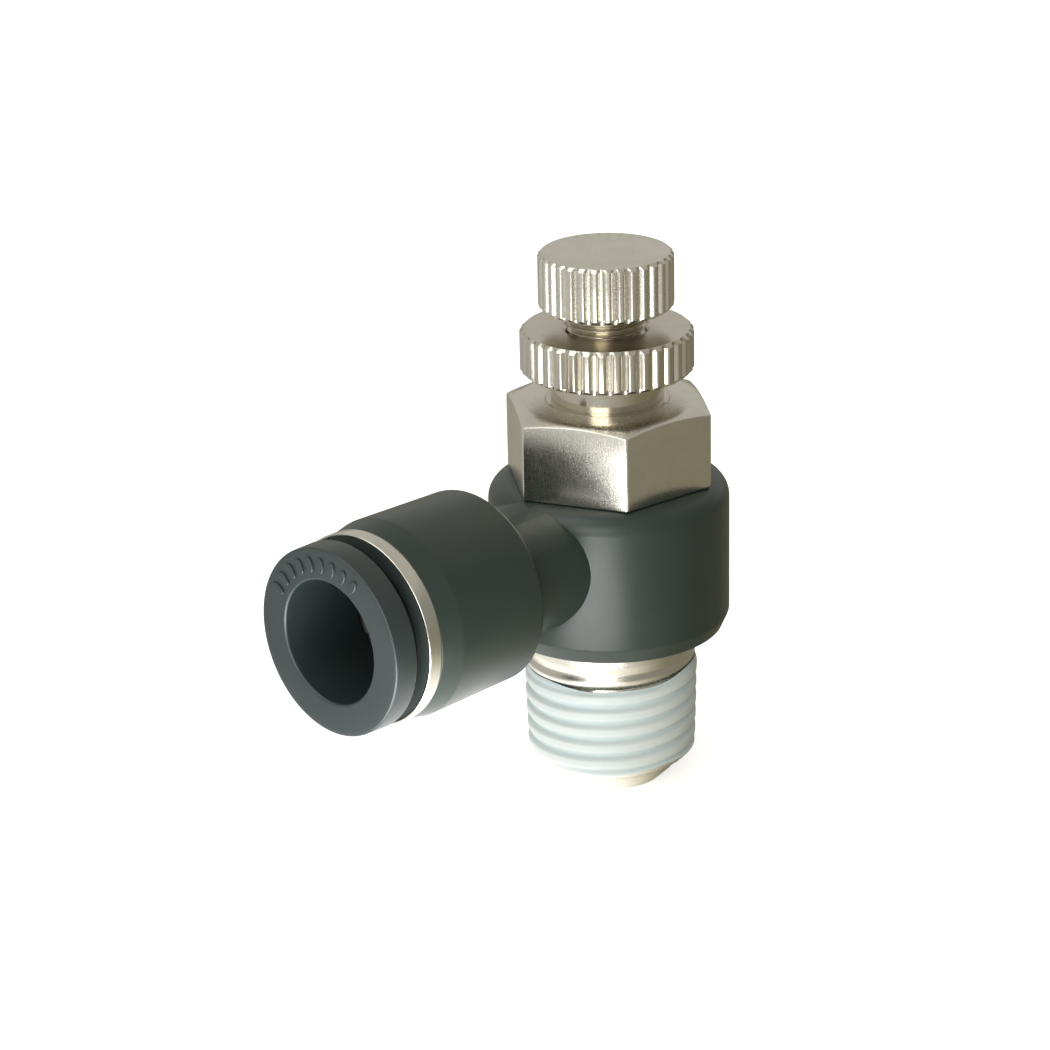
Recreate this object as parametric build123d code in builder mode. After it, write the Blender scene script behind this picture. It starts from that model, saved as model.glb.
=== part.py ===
"""Elbow flow control valve: push-in tube port on a swivelling resin elbow, tapered male thread,
metering needle with a knurled knob and a knurled lock nut. Millimetres, +Z along the valve stem."""
from build123d import *
import os
from math import cos, radians, tan

os.makedirs("parts", exist_ok=True)

# ---- driving dimensions -------------------------------------------------------------------
TUBE_R = 9.525 / 2  # 3/8 inch tube
HEX_AF = 15.0  # spanner size
PIPE_R = 13.716 / 2  # outside of 1/4 inch pipe, the crest limit of the taper thread
PIPE_TAPER = 1 / 32  # radius lost per millimetre towards the small end
NEEDLE_LEAD = 0.5  # fine thread on the needle
RUN = 0.05  # radial running clearance
SEAL_GAP = 0.02  # a seal is drawn this much clear of the wall it wipes
EDGE = 0.25  # chamfer on turned edges

# heights along the stem, from the hand-tight plane of the taper thread
THREAD_END = -5.8
THREAD_TOP = 4.1
ELBOW_BOTTOM = 7.55
ELBOW_TOP = 19.95
HEX_BOTTOM = 20.0
HEX_TOP = 26.6
NECK_TOP = 28.95
NUT_TOP = 32.45
KNOB_BOTTOM = 34.15
KNOB_TOP = 38.6
ARM_Z = 15.2

# distances out along the arm, from the stem axis
SOCKET_START = 15.45
SHELL_REAR = 15.13
CAVITY_START = 17.6
SHELL_FRONT = 25.92
COLLAR_FRONT = 27.2
FLANGE_BACK = 28.35
FLANGE_FRONT = 30.5

# radii about the stem
ELBOW_R = 9.65
CHAMBER_R = 8.0
LAND_BORE_R = 7.0
LAND_R = LAND_BORE_R - RUN
WAIST_R = 5.2
PASSAGE_R = 3.4
SEAT_R = 2.0
GUIDE_R = 4.9
NECK_R = 4.5
STEM_THREAD_R = 3.1
SHAFT_R = 3.3
NUT_R = 6.88
KNOB_R = 5.35
KNOB_SPIGOT_R = 2.6

# radii about the arm
ARM_NECK_R = 5.5
SHELL_REAR_R = 7.7
SHELL_FRONT_R = 7.86
CAVITY_R = 6.6
PORT_R = TUBE_R + 0.07
COLLAR_R = 7.53
COLLAR_WALL = 0.22
FLANGE_R = 7.42
FLANGE_FRONT_R = 7.36
SLEEVE_R = 5.75

# axial bands shared by neighbouring parts
RING_GROOVE = (7.65, 8.25)
LOWER_LAND = (8.3, 10.3)
LOWER_SEAL = (8.65, 9.85)
CHECK_GROOVE = (11.9, 13.1)
UPPER_LAND = (17.6, HEX_BOTTOM)
UPPER_SEAL = (18.1, 19.3)
GUIDE_BOTTOM = 19.0
GUIDE_SEAL = (20.6, 21.7)
SHAFT_TOP = 22.6
SHAFT_SEAL = (20.2, 21.4)
GUIDE_SHOULDER = 26.0  # stops the needle when it is fully open
SEAT = (12.7, 13.9)
SEAL_ROOT = 1.2  # depth of the grooves on the two lands
RING_DEPTH = 0.55  # depth of the retaining ring's groove
GUIDE_SEAL_DEPTH = 0.8
SHAFT_SEAL_DEPTH = 1.0
SPIGOT_COVER = 1.2  # the knob's top over the needle's spigot
KNURL_DEPTH = 0.26
THREAD_DEPTH = 0.56  # crest to pitch cone of the taper thread
COAT = 0.12  # sealant standing over the crests

STEM_PLANE = Plane.XZ
ARM_PLANE = Plane(origin=(0, 0, ARM_Z), x_dir=(0, -1, 0), z_dir=(-1, 0, 0))
ARM_AXIS = Axis((0, 0, ARM_Z), (0, -1, 0))


def crest_radius(z):
    """Crest radius of the taper thread at height z, limited by the pipe's outside."""
    hand_tight_crest = 6.808
    return min(PIPE_R, hand_tight_crest + z * PIPE_TAPER)


def turned(*outline, mode=Mode.ADD):
    """Turn a closed outline of (radius, height) points about the stem axis."""
    with BuildSketch(STEM_PLANE) as profile:
        with BuildLine():
            Polyline(*outline, close=True)
        make_face()
    revolve(profile.sketch, axis=Axis.Z, mode=mode)


def turned_on_arm(*outline, mode=Mode.ADD):
    """Turn a closed outline of (distance out, radius) points about the arm axis."""
    with BuildSketch(ARM_PLANE) as profile:
        with BuildLine():
            Polyline(*outline, close=True)
        make_face()
    revolve(profile.sketch, axis=ARM_AXIS, mode=mode)


def o_ring(band, inner, outer):
    """An O-ring that fills a groove: its section sits in the band between two radii."""
    section = (outer - inner) / 2
    with BuildSketch(STEM_PLANE) as profile:
        with Locations((inner + section, (band[0] + band[1]) / 2)):
            Circle(section)
    revolve(profile.sketch, axis=Axis.Z)


def knurl(radius, depth, count, bottom, top):
    """Cut straight V-bottomed knurl grooves along a round part."""
    with BuildSketch(Plane.XY.offset(bottom)) as grooves:
        with PolarLocations(radius, count):
            Polygon((depth, 0.32), (-depth, 0.1), (-depth, -0.1), (depth, -0.32), align=None)
    extrude(grooves.sketch, amount=top - bottom, mode=Mode.SUBTRACT)


def write(part, name):
    """Label a finished part and write it as one STEP file."""
    part.label = name
    export_step(part, f"parts/{name}.step")


# ---- brass stem: hexagon, seal lands, waist and tapered male thread ------------------------
HEX_TURN = -37  # degrees, one corner of the hexagon from +X
HEX_FLAT_R = 6.88  # round land left on top by the corner chamfer
HEX_SLOPE = tan(radians(18))
HEX_CORNER_R = HEX_AF / 2 / cos(radians(30))
SMALL_END_R = 4.13
THREAD_CHAMFER = 2.0

with BuildPart() as valve_body:
    pitch_low = crest_radius(THREAD_END + THREAD_CHAMFER) - THREAD_DEPTH
    pitch_high = crest_radius(THREAD_TOP) - THREAD_DEPTH
    groove_r = LAND_R - SEAL_ROOT
    turned(
        (0, THREAD_END),
        (SMALL_END_R, THREAD_END),
        (pitch_low, THREAD_END + THREAD_CHAMFER),
        (pitch_high, THREAD_TOP),
        (PIPE_R, THREAD_TOP),
        (PIPE_R, RING_GROOVE[0]),
        (PIPE_R - RING_DEPTH, RING_GROOVE[0]),
        (PIPE_R - RING_DEPTH, RING_GROOVE[1]),
        (LAND_R, RING_GROOVE[1]),
        (LAND_R, LOWER_SEAL[0]),
        (groove_r, LOWER_SEAL[0]),
        (groove_r, LOWER_SEAL[1]),
        (LAND_R, LOWER_SEAL[1]),
        (LAND_R, LOWER_LAND[1]),
        (WAIST_R, LOWER_LAND[1]),
        (WAIST_R, CHECK_GROOVE[0]),
        (WAIST_R - 0.3, CHECK_GROOVE[0]),
        (WAIST_R - 0.3, CHECK_GROOVE[1]),
        (WAIST_R, CHECK_GROOVE[1]),
        (WAIST_R, UPPER_LAND[0]),
        (LAND_R, UPPER_LAND[0]),
        (LAND_R, UPPER_SEAL[0]),
        (groove_r, UPPER_SEAL[0]),
        (groove_r, UPPER_SEAL[1]),
        (LAND_R, UPPER_SEAL[1]),
        (LAND_R, HEX_BOTTOM),
        (0, HEX_BOTTOM),
    )
    with BuildSketch(Plane.XY.offset(HEX_BOTTOM)):
        RegularPolygon(HEX_AF / 2, 6, major_radius=False, rotation=HEX_TURN)
    extrude(amount=HEX_TOP - HEX_BOTTOM)
    fillet(valve_body.edges().filter_by(Axis.Z).group_by(Axis.Z)[-1], 0.3)
    corner_drop = (HEX_CORNER_R + 1 - HEX_FLAT_R) * HEX_SLOPE
    turned(
        (HEX_FLAT_R, HEX_TOP),
        (HEX_CORNER_R + 1, HEX_TOP - corner_drop),
        (HEX_CORNER_R + 1, HEX_TOP + 1),
        (HEX_FLAT_R, HEX_TOP + 1),
        mode=Mode.SUBTRACT,
    )
    turned(
        (0, THREAD_END),
        (PASSAGE_R, THREAD_END),
        (PASSAGE_R, SEAT[0]),
        (PASSAGE_R + 0.2, SEAT[0]),
        (PASSAGE_R + 0.2, GUIDE_BOTTOM),
        (GUIDE_R + 0.01, GUIDE_BOTTOM),
        (GUIDE_R + 0.01, HEX_TOP),
        (0, HEX_TOP),
        mode=Mode.SUBTRACT,
    )
    # metering holes above the seat, free-flow holes below the check seal
    for height, hole_r, count in ((15.5, 1.1, 4), (11.0, 0.6, 8)):
        with BuildSketch(Plane.XZ) as drilling:
            with Locations((0, height)):
                Circle(hole_r)
        for turn in range(count):
            drill = extrude(drilling.sketch, amount=WAIST_R + 0.5, mode=Mode.PRIVATE)
            add(drill.rotate(Axis.Z, 45 + turn * 360 / count), mode=Mode.SUBTRACT)
write(valve_body.part, "valve_body")

with BuildPart() as seat_ring:
    turned(
        (SEAT_R, SEAT[0] + 0.5),
        (PASSAGE_R - 0.6, SEAT[0]),
        (PASSAGE_R + 0.19, SEAT[0]),
        (PASSAGE_R + 0.19, SEAT[1]),
        (SEAT_R, SEAT[1]),
    )
write(seat_ring.part, "seat_ring")

with BuildPart() as needle_guide:
    turned(
        (SHAFT_R + RUN, GUIDE_BOTTOM),
        (GUIDE_R, GUIDE_BOTTOM),
        (GUIDE_R, GUIDE_SEAL[0]),
        (GUIDE_R - GUIDE_SEAL_DEPTH, GUIDE_SEAL[0]),
        (GUIDE_R - GUIDE_SEAL_DEPTH, GUIDE_SEAL[1]),
        (GUIDE_R, GUIDE_SEAL[1]),
        (GUIDE_R, HEX_TOP),
        (NECK_R, HEX_TOP),
        (NECK_R, NECK_TOP - 0.15),
        (NECK_R - 0.15, NECK_TOP),
        (STEM_THREAD_R + RUN, NECK_TOP),
        (STEM_THREAD_R + RUN, GUIDE_SHOULDER),
        (SHAFT_R + RUN, GUIDE_SHOULDER),
    )
write(needle_guide.part, "needle_guide")

with BuildPart() as guide_o_ring:
    o_ring(GUIDE_SEAL, GUIDE_R - GUIDE_SEAL_DEPTH + 0.01, GUIDE_R)
write(guide_o_ring.part, "guide_o_ring")

with BuildPart() as upper_o_ring:
    o_ring(UPPER_SEAL, LAND_R - SEAL_ROOT + 0.05, LAND_BORE_R - SEAL_GAP)
write(upper_o_ring.part, "upper_o_ring")

with BuildPart() as lower_o_ring:
    o_ring(LOWER_SEAL, LAND_R - SEAL_ROOT + 0.05, LAND_BORE_R - SEAL_GAP)
write(lower_o_ring.part, "lower_o_ring")

# cup seal on the waist: its lip bends away from the wall when air flows the free way
with BuildPart() as check_seal:
    heel = (CHECK_GROOVE[0] + 0.02, CHECK_GROOVE[1] - 0.02)
    turned(
        (WAIST_R - 0.28, heel[0]),
        (CHAMBER_R - 0.7, heel[0]),
        (CHAMBER_R - SEAL_GAP, heel[0] + 1.0),
        (CHAMBER_R - 0.35, heel[0] + 1.1),
        (CHAMBER_R - 1.1, heel[0] + 0.55),
        (WAIST_R + 0.5, heel[0] + 0.55),
        (WAIST_R + 0.5, heel[1]),
        (WAIST_R - 0.28, heel[1]),
    )
write(check_seal.part, "check_seal")

# snap ring that keeps the elbow on the stem, with its gap at the back
with BuildPart() as retaining_ring:
    turned(
        (PIPE_R - RING_DEPTH + 0.05, RING_GROOVE[0] + 0.02),
        (CHAMBER_R - 0.25, RING_GROOVE[0] + 0.02),
        (CHAMBER_R - 0.25, RING_GROOVE[1] - 0.02),
        (PIPE_R - RING_DEPTH + 0.05, RING_GROOVE[1] - 0.02),
    )
    with BuildSketch(Plane.XY.offset(RING_GROOVE[0])):
        with Locations((0, CHAMBER_R)):
            Rectangle(3.2, 4.5)
    extrude(amount=1, mode=Mode.SUBTRACT)
write(retaining_ring.part, "retaining_ring")

# dry sealant: fills the thread from the pitch cone and stands over the crests
SEALANT_END = -3.3
with BuildPart() as thread_sealant:
    turned(
        (crest_radius(SEALANT_END) - THREAD_DEPTH + 0.01, SEALANT_END),
        (crest_radius(SEALANT_END) + COAT, SEALANT_END),
        (crest_radius(THREAD_TOP) + COAT, THREAD_TOP - 0.4),
        (PIPE_R, THREAD_TOP - 0.01),
        (crest_radius(THREAD_TOP) - THREAD_DEPTH + 0.01, THREAD_TOP - 0.01),
    )
write(thread_sealant.part, "thread_sealant")

# ---- needle assembly -----------------------------------------------------------------------
NEEDLE_TIP = 12.6
CONE_SLOPE = 0.408  # radius gained per millimetre of height
CLOSING_STROKE = 0.8  # down to the seat from the position drawn

with BuildPart() as needle:
    cone_top = 16.2
    seat_touch = SEAT[1] + CLOSING_STROKE
    tip_r = SEAT_R - 0.02 - (seat_touch - NEEDLE_TIP) * CONE_SLOPE
    cone_r = SEAT_R - 0.02 + (cone_top - seat_touch) * CONE_SLOPE
    turned(
        (0, NEEDLE_TIP),
        (tip_r, NEEDLE_TIP),
        (cone_r, cone_top),
        (cone_r, cone_top + 1.4),
        (SHAFT_R, cone_top + 1.8),
        (SHAFT_R, SHAFT_SEAL[0]),
        (SHAFT_R - SHAFT_SEAL_DEPTH, SHAFT_SEAL[0]),
        (SHAFT_R - SHAFT_SEAL_DEPTH, SHAFT_SEAL[1]),
        (SHAFT_R, SHAFT_SEAL[1]),
        (SHAFT_R, SHAFT_TOP),
        (STEM_THREAD_R, SHAFT_TOP + 0.2),
        (STEM_THREAD_R, KNOB_BOTTOM),
        (KNOB_SPIGOT_R, KNOB_BOTTOM),
        (KNOB_SPIGOT_R, KNOB_TOP - SPIGOT_COVER),
        (0, KNOB_TOP - SPIGOT_COVER),
    )
    # annular thread form, one groove per turn of the fine thread
    turns = int((KNOB_BOTTOM - SHAFT_TOP - 1) / NEEDLE_LEAD)
    groove_root = STEM_THREAD_R - 0.27
    groove_top = STEM_THREAD_R + 0.05
    with BuildSketch(STEM_PLANE) as thread_grooves:
        for turn in range(turns):
            mid = SHAFT_TOP + 0.75 + turn * NEEDLE_LEAD
            with BuildLine():
                Polyline(
                    (groove_top, mid - 0.22),
                    (groove_root, mid - 0.03),
                    (groove_root, mid + 0.03),
                    (groove_top, mid + 0.22),
                    close=True,
                )
            make_face()
    revolve(thread_grooves.sketch, axis=Axis.Z, mode=Mode.SUBTRACT)
write(needle.part, "needle")

with BuildPart() as needle_o_ring:
    o_ring(SHAFT_SEAL, SHAFT_R - SHAFT_SEAL_DEPTH + 0.02, SHAFT_R + RUN - SEAL_GAP)
write(needle_o_ring.part, "needle_o_ring")

with BuildPart() as knob:
    turned(
        (0, KNOB_TOP - SPIGOT_COVER),
        (KNOB_SPIGOT_R + 0.01, KNOB_TOP - SPIGOT_COVER),
        (KNOB_SPIGOT_R + 0.01, KNOB_BOTTOM),
        (KNOB_R - EDGE, KNOB_BOTTOM),
        (KNOB_R, KNOB_BOTTOM + EDGE),
        (KNOB_R, KNOB_TOP - EDGE),
        (KNOB_R - EDGE, KNOB_TOP),
        (0, KNOB_TOP),
    )
    knurl(KNOB_R, KNURL_DEPTH, 32, KNOB_BOTTOM, KNOB_TOP)
write(knob.part, "knob")

with BuildPart() as lock_nut:
    turned(
        (STEM_THREAD_R + RUN, NECK_TOP),
        (NUT_R - EDGE, NECK_TOP),
        (NUT_R, NECK_TOP + EDGE),
        (NUT_R, NUT_TOP - EDGE),
        (NUT_R - EDGE, NUT_TOP),
        (STEM_THREAD_R + 0.3, NUT_TOP),
        (STEM_THREAD_R + RUN, NUT_TOP - 0.25),
    )
    knurl(NUT_R, KNURL_DEPTH, 36, NECK_TOP, NUT_TOP)
write(lock_nut.part, "lock_nut")

# ---- resin elbow ---------------------------------------------------------------------------
TOP_ROUND = 1.6
NECK_FLAT = ELBOW_TOP - 0.12  # the arm's neck runs out just under the top face
BOTTOM_BEVEL = (0.58, 1.2)
PORT_PASSAGE_R = 2.3

with BuildPart() as elbow_body:
    # arm: neck, then the shell that holds the tube-gripping parts
    turned_on_arm(
        (0, 0),
        (0, ARM_NECK_R),
        (SHELL_REAR, ARM_NECK_R),
        (SHELL_REAR, SHELL_REAR_R - 0.8),
        (SHELL_REAR + 0.25, SHELL_REAR_R - 0.25),
        (SHELL_REAR + 0.8, SHELL_REAR_R),
        (SHELL_FRONT - 1.9, SHELL_FRONT_R),
        (SHELL_FRONT - 0.5, SHELL_FRONT_R - 0.18),
        (SHELL_FRONT, SHELL_FRONT_R - 0.42),
        (SHELL_FRONT, 0),
    )
    # the neck is flattened at the height of the elbow's top face
    with BuildSketch(Plane.XY.offset(NECK_FLAT)):
        Rectangle(4 * ARM_NECK_R, 2 * SHELL_REAR)
    extrude(amount=3, mode=Mode.SUBTRACT)
    with BuildSketch(STEM_PLANE) as elbow_profile:
        with BuildLine():
            Line((0, ELBOW_BOTTOM), (ELBOW_R - BOTTOM_BEVEL[0], ELBOW_BOTTOM))
            Line((ELBOW_R - BOTTOM_BEVEL[0], ELBOW_BOTTOM), (ELBOW_R, ELBOW_BOTTOM + BOTTOM_BEVEL[1]))
            Line((ELBOW_R, ELBOW_BOTTOM + BOTTOM_BEVEL[1]), (ELBOW_R, ELBOW_TOP - TOP_ROUND))
            RadiusArc((ELBOW_R, ELBOW_TOP - TOP_ROUND), (ELBOW_R - TOP_ROUND, ELBOW_TOP), -TOP_ROUND)
            Line((ELBOW_R - TOP_ROUND, ELBOW_TOP), (0, ELBOW_TOP))
            Line((0, ELBOW_TOP), (0, ELBOW_BOTTOM))
        make_face()
    revolve(elbow_profile.sketch, axis=Axis.Z)
    # bore for the stem: ring recess, two seal lands and the flow chamber between them
    turned(
        (0, ELBOW_BOTTOM - 1),
        (CHAMBER_R, ELBOW_BOTTOM - 1),
        (CHAMBER_R, LOWER_LAND[0]),
        (LAND_BORE_R, LOWER_LAND[0]),
        (LAND_BORE_R, LOWER_LAND[1]),
        (CHAMBER_R, LOWER_LAND[1]),
        (CHAMBER_R, UPPER_LAND[0]),
        (LAND_BORE_R, UPPER_LAND[0]),
        (LAND_BORE_R, ELBOW_TOP + 1),
        (0, ELBOW_TOP + 1),
        mode=Mode.SUBTRACT,
    )
    turned_on_arm(
        (CHAMBER_R - 1, 0),
        (CHAMBER_R - 1, PORT_PASSAGE_R),
        (SOCKET_START - 0.5, PORT_PASSAGE_R),
        (SOCKET_START, PORT_PASSAGE_R + 0.8),
        (SOCKET_START, PORT_R),
        (CAVITY_START - 0.3, PORT_R),
        (CAVITY_START, PORT_R + 0.3),
        (CAVITY_START, CAVITY_R),
        (SHELL_FRONT + 1, CAVITY_R),
        (SHELL_FRONT + 1, 0),
        mode=Mode.SUBTRACT,
    )
write(elbow_body.part, "elbow_body")

# ---- tube-gripping parts, from the back of the cavity outwards ------------------------------
FIT = 0.02  # clear of the cavity wall

with BuildPart() as tube_seal:
    turned_on_arm(
        (CAVITY_START + 0.05, PORT_R + 0.45),
        (CAVITY_START + 0.05, CAVITY_R - FIT),
        (CAVITY_START + 2.25, CAVITY_R - FIT),
        (CAVITY_START + 2.25, PORT_R + 0.7),
        (CAVITY_START + 1.3, PORT_R + 0.02),
        (CAVITY_START + 0.8, PORT_R + 0.02),
    )
write(tube_seal.part, "tube_seal")

SPACER_BACK = CAVITY_START + 2.3
CLAW_RIM = 22.4
with BuildPart() as seal_spacer:
    turned_on_arm(
        (SPACER_BACK, PORT_R),
        (SPACER_BACK, CAVITY_R - FIT),
        (CLAW_RIM - 0.02, CAVITY_R - FIT),
        (CLAW_RIM - 0.02, 6.15),
        (SPACER_BACK + 1.0, PORT_R),
    )
write(seal_spacer.part, "seal_spacer")

# sprung steel claw: a flat rim and teeth that lean inwards, away from the mouth
TEETH = 10
TOOTH_GAP = 0.5
CLAW_TIP = 21.25
CLAW_THICK = 0.25
COLLAR_BACK = 23.95
COLLAR_WEB = SHELL_FRONT + 0.24
with BuildPart() as lock_claw:
    turned_on_arm(
        (CLAW_RIM, 6.0),
        (CLAW_RIM, CAVITY_R - 0.05),
        (CLAW_RIM + CLAW_THICK, CAVITY_R - 0.05),
        (CLAW_RIM + CLAW_THICK, 5.9),
        (CLAW_TIP + 0.2, PORT_R + 0.03),
        (CLAW_TIP, PORT_R + 0.03),
    )
    with BuildSketch(Plane.XZ.offset(CLAW_TIP - 1)) as tooth_slots:
        with Locations((0, ARM_Z)):
            with PolarLocations(5.4, TEETH):
                Rectangle(1.1, TOOTH_GAP)
    extrude(tooth_slots.sketch, amount=CLAW_RIM - CLAW_TIP + 1.3, mode=Mode.SUBTRACT)
write(lock_claw.part, "lock_claw")

# resin guide: backs the claw and fills the collar from inside
with BuildPart() as claw_guide:
    turned_on_arm(
        (CLAW_RIM + CLAW_THICK + FIT, SLEEVE_R + RUN),
        (CLAW_RIM + CLAW_THICK + FIT, CAVITY_R - FIT),
        (COLLAR_BACK - 0.05, CAVITY_R - FIT),
        (COLLAR_BACK - 0.05, CAVITY_R - COLLAR_WALL - 2 * FIT),
        (COLLAR_WEB + FIT, CAVITY_R - COLLAR_WALL - 2 * FIT),
        (COLLAR_WEB + FIT, COLLAR_R - COLLAR_WALL - FIT),
        (COLLAR_FRONT - 0.15, COLLAR_R - COLLAR_WALL - FIT),
        (COLLAR_FRONT - 0.15, SLEEVE_R + RUN + 0.15),
        (COLLAR_FRONT - 0.3, SLEEVE_R + RUN),
    )
write(claw_guide.part, "claw_guide")

# thin metal collar: a band in front of the shell, a web, and a sleeve pressed into the cavity
with BuildPart() as collar:
    turned_on_arm(
        (COLLAR_BACK, CAVITY_R - COLLAR_WALL - FIT),
        (COLLAR_BACK, CAVITY_R - 0.01),
        (SHELL_FRONT + 0.01, CAVITY_R - 0.01),
        (SHELL_FRONT + 0.01, COLLAR_R - 0.06),
        (SHELL_FRONT + 0.07, COLLAR_R),
        (COLLAR_FRONT - 0.08, COLLAR_R),
        (COLLAR_FRONT, COLLAR_R - 0.08),
        (COLLAR_FRONT, COLLAR_R - COLLAR_WALL),
        (COLLAR_WEB, COLLAR_R - COLLAR_WALL),
        (COLLAR_WEB, CAVITY_R - COLLAR_WALL - FIT),
    )
write(collar.part, "collar")

NOSE = 23.2
with BuildPart() as release_ring:
    turned_on_arm(
        (NOSE, PORT_R),
        (NOSE, PORT_R + 0.35),
        (NOSE + 0.7, SLEEVE_R),
        (FLANGE_BACK, SLEEVE_R),
        (FLANGE_BACK, FLANGE_R - 0.15),
        (FLANGE_BACK + 0.15, FLANGE_R),
        (FLANGE_FRONT - 0.12, FLANGE_FRONT_R),
        (FLANGE_FRONT, FLANGE_FRONT_R - 0.12),
        (FLANGE_FRONT, PORT_R + 0.12),
        (FLANGE_FRONT - 0.15, PORT_R),
    )
write(release_ring.part, "release_ring")
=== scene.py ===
"""Looks of the elbow flow control valve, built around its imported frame. Metres, +Z along the stem."""
from math import cos, pi, radians, sin, sqrt, tan

import bmesh
import bpy
from mathutils import Matrix, Vector


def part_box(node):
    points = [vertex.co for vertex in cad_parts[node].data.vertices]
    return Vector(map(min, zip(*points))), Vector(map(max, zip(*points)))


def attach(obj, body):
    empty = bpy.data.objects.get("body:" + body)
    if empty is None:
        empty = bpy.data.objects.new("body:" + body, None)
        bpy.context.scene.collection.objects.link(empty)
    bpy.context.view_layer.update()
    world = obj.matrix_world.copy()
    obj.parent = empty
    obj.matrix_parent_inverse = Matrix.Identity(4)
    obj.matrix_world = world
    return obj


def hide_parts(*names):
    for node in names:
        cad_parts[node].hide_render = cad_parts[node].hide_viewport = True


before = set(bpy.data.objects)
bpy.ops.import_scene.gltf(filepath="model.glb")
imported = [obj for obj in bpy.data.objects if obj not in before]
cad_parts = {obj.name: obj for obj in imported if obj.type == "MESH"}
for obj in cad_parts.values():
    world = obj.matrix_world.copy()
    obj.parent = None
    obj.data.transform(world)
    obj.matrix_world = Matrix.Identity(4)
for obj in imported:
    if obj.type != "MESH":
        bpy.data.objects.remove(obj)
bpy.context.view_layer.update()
MM = 0.001


# ---- places read from the frame, in millimetres ----------------------------------------------
def node_box(node):
    """Lowest and highest corner of a frame node in millimetres."""
    low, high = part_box(node)
    return low / MM, high / MM


ARM_Z = sum(corner.z for corner in node_box("release_ring")) / 2
HEX_TOP = node_box("valve_body")[1].z
THREAD_END = node_box("valve_body")[0].z
ELBOW_TOP = 19.95
ELBOW_BOTTOM = 7.55
ELBOW_R = node_box("elbow_body")[1].y
SHELL_FRONT = -node_box("elbow_body")[0].y
NECK_TOP = node_box("needle_guide")[1].z
NUT_LOW, NUT_HIGH = node_box("lock_nut")
KNOB_LOW, KNOB_HIGH = node_box("knob")
NEEDLE_LOW, NEEDLE_HIGH = node_box("needle")
COLLAR_LOW, COLLAR_HIGH = node_box("collar")
RING_LOW, RING_HIGH = node_box("release_ring")
SEALANT_LOW, SEALANT_HIGH = node_box("thread_sealant")

# sizes that belong to the looks, in millimetres
HEX_BOTTOM = 20.0
HEX_APOTHEM = 7.5
HEX_TURN = radians(-37)
HEX_FLAT_R = 6.88
HEX_SLOPE = tan(radians(18))
HEX_CORNER_ROUND = 0.32
PIPE_R = 6.858
PIPE_PITCH = 25.4 / 18
PIPE_TAPER = 1 / 32
CREST_AT_ORIGIN = 6.808
RUN_OUT = 6.3
THREAD_LOW = THREAD_END + 2.55
ROW_SPACING = 0.09
PASSAGE_R = 3.4
LAND_R = 6.95
GALLERY_LOW, GALLERY_HIGH = 10.3, 17.6
GUIDE_R = 4.9
GUIDE_FOOT = 19.0
NEEDLE_LEAD = 0.5
STEM_R = 3.1
NUT_TEETH, KNOB_TEETH = 36, 32
KNURL_DEPTH = 0.30
NECK_R = 5.5
SHELL_REAR = 15.13
TUBE_BORE_R = 4.8325
CAVITY_R = 6.6
FLANGE_THICKNESS = 2.15
SHEET_HALF = 1500
ARM_TO_ROW = Matrix.Translation((0, 0, ARM_Z * MM)) @ Matrix.Rotation(pi / 2, 4, "X")


# ---- node graphs ------------------------------------------------------------------------------
class Value:
    """A socket whose operators add Math nodes to its graph."""

    def __init__(self, graph, socket):
        self.graph = graph
        self.socket = socket

    def math(self, operation, *others):
        """A Math node on this value and the others."""
        return self.graph.maths(operation, self, *others)

    def __add__(self, other):
        return self.math("ADD", other)

    def __radd__(self, other):
        return self.math("ADD", other)

    def __sub__(self, other):
        return self.math("SUBTRACT", other)

    def __rsub__(self, other):
        return self.graph.maths("SUBTRACT", other, self)

    def __mul__(self, other):
        return self.math("MULTIPLY", other)

    def __truediv__(self, other):
        return self.math("DIVIDE", other)


class Graph:
    """One node tree. Every node comes from node()."""

    def __init__(self, tree):
        self.tree = tree
        self.tree.nodes.clear()

    def node(self, kind, settings=None, sockets=None, out=0):
        """Adds a node, its settings first, then its socket values or links, and gives an output."""
        made = self.tree.nodes.new(kind)
        for name, value in (settings or {}).items():
            setattr(made, name, value)
        self.feed(made, sockets or {})
        return Value(self, made.outputs[out]) if len(made.outputs) else made

    def feed(self, made, sockets):
        """Links or sets a node's inputs, by name or number."""
        for name, value in sockets.items():
            if isinstance(value, Value):
                self.tree.links.new(value.socket, made.inputs[name])
            else:
                made.inputs[name].default_value = value

    def maths(self, operation, *values):
        """A Math node."""
        return self.node("ShaderNodeMath", {"operation": operation}, dict(enumerate(values)))

    def step(self, value, low, high):
        """0 below low, 1 above high, smooth between them. low may be the higher one."""
        settings = {"interpolation_type": "SMOOTHSTEP"}
        return self.node("ShaderNodeMapRange", settings, {0: value, 1: low, 2: high, 3: 0.0, 4: 1.0})

    def mix(self, factor, first, second):
        """A colour between two colours."""
        colours = [c if isinstance(c, Value) else (*c, 1) for c in (first, second)]
        settings = {"data_type": "RGBA"}
        return self.node("ShaderNodeMix", settings, {0: factor, 6: colours[0], 7: colours[1]}, out=2)

    def xyz(self, vector):
        """The three parts of a vector."""
        parts = self.node("ShaderNodeSeparateXYZ", None, {0: vector})
        return [Value(self, socket) for socket in parts.socket.node.outputs]

    def vector(self, x, y, z):
        """A vector from its three parts."""
        return self.node("ShaderNodeCombineXYZ", None, {0: x, 1: y, 2: z})

    def noise(self, vector, scale, detail=2.0, roughness=0.5):
        """A noise value from 0 to 1."""
        values = {"Vector": vector, "Scale": scale, "Detail": detail, "Roughness": roughness}
        return self.node("ShaderNodeTexNoise", None, values)


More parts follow.
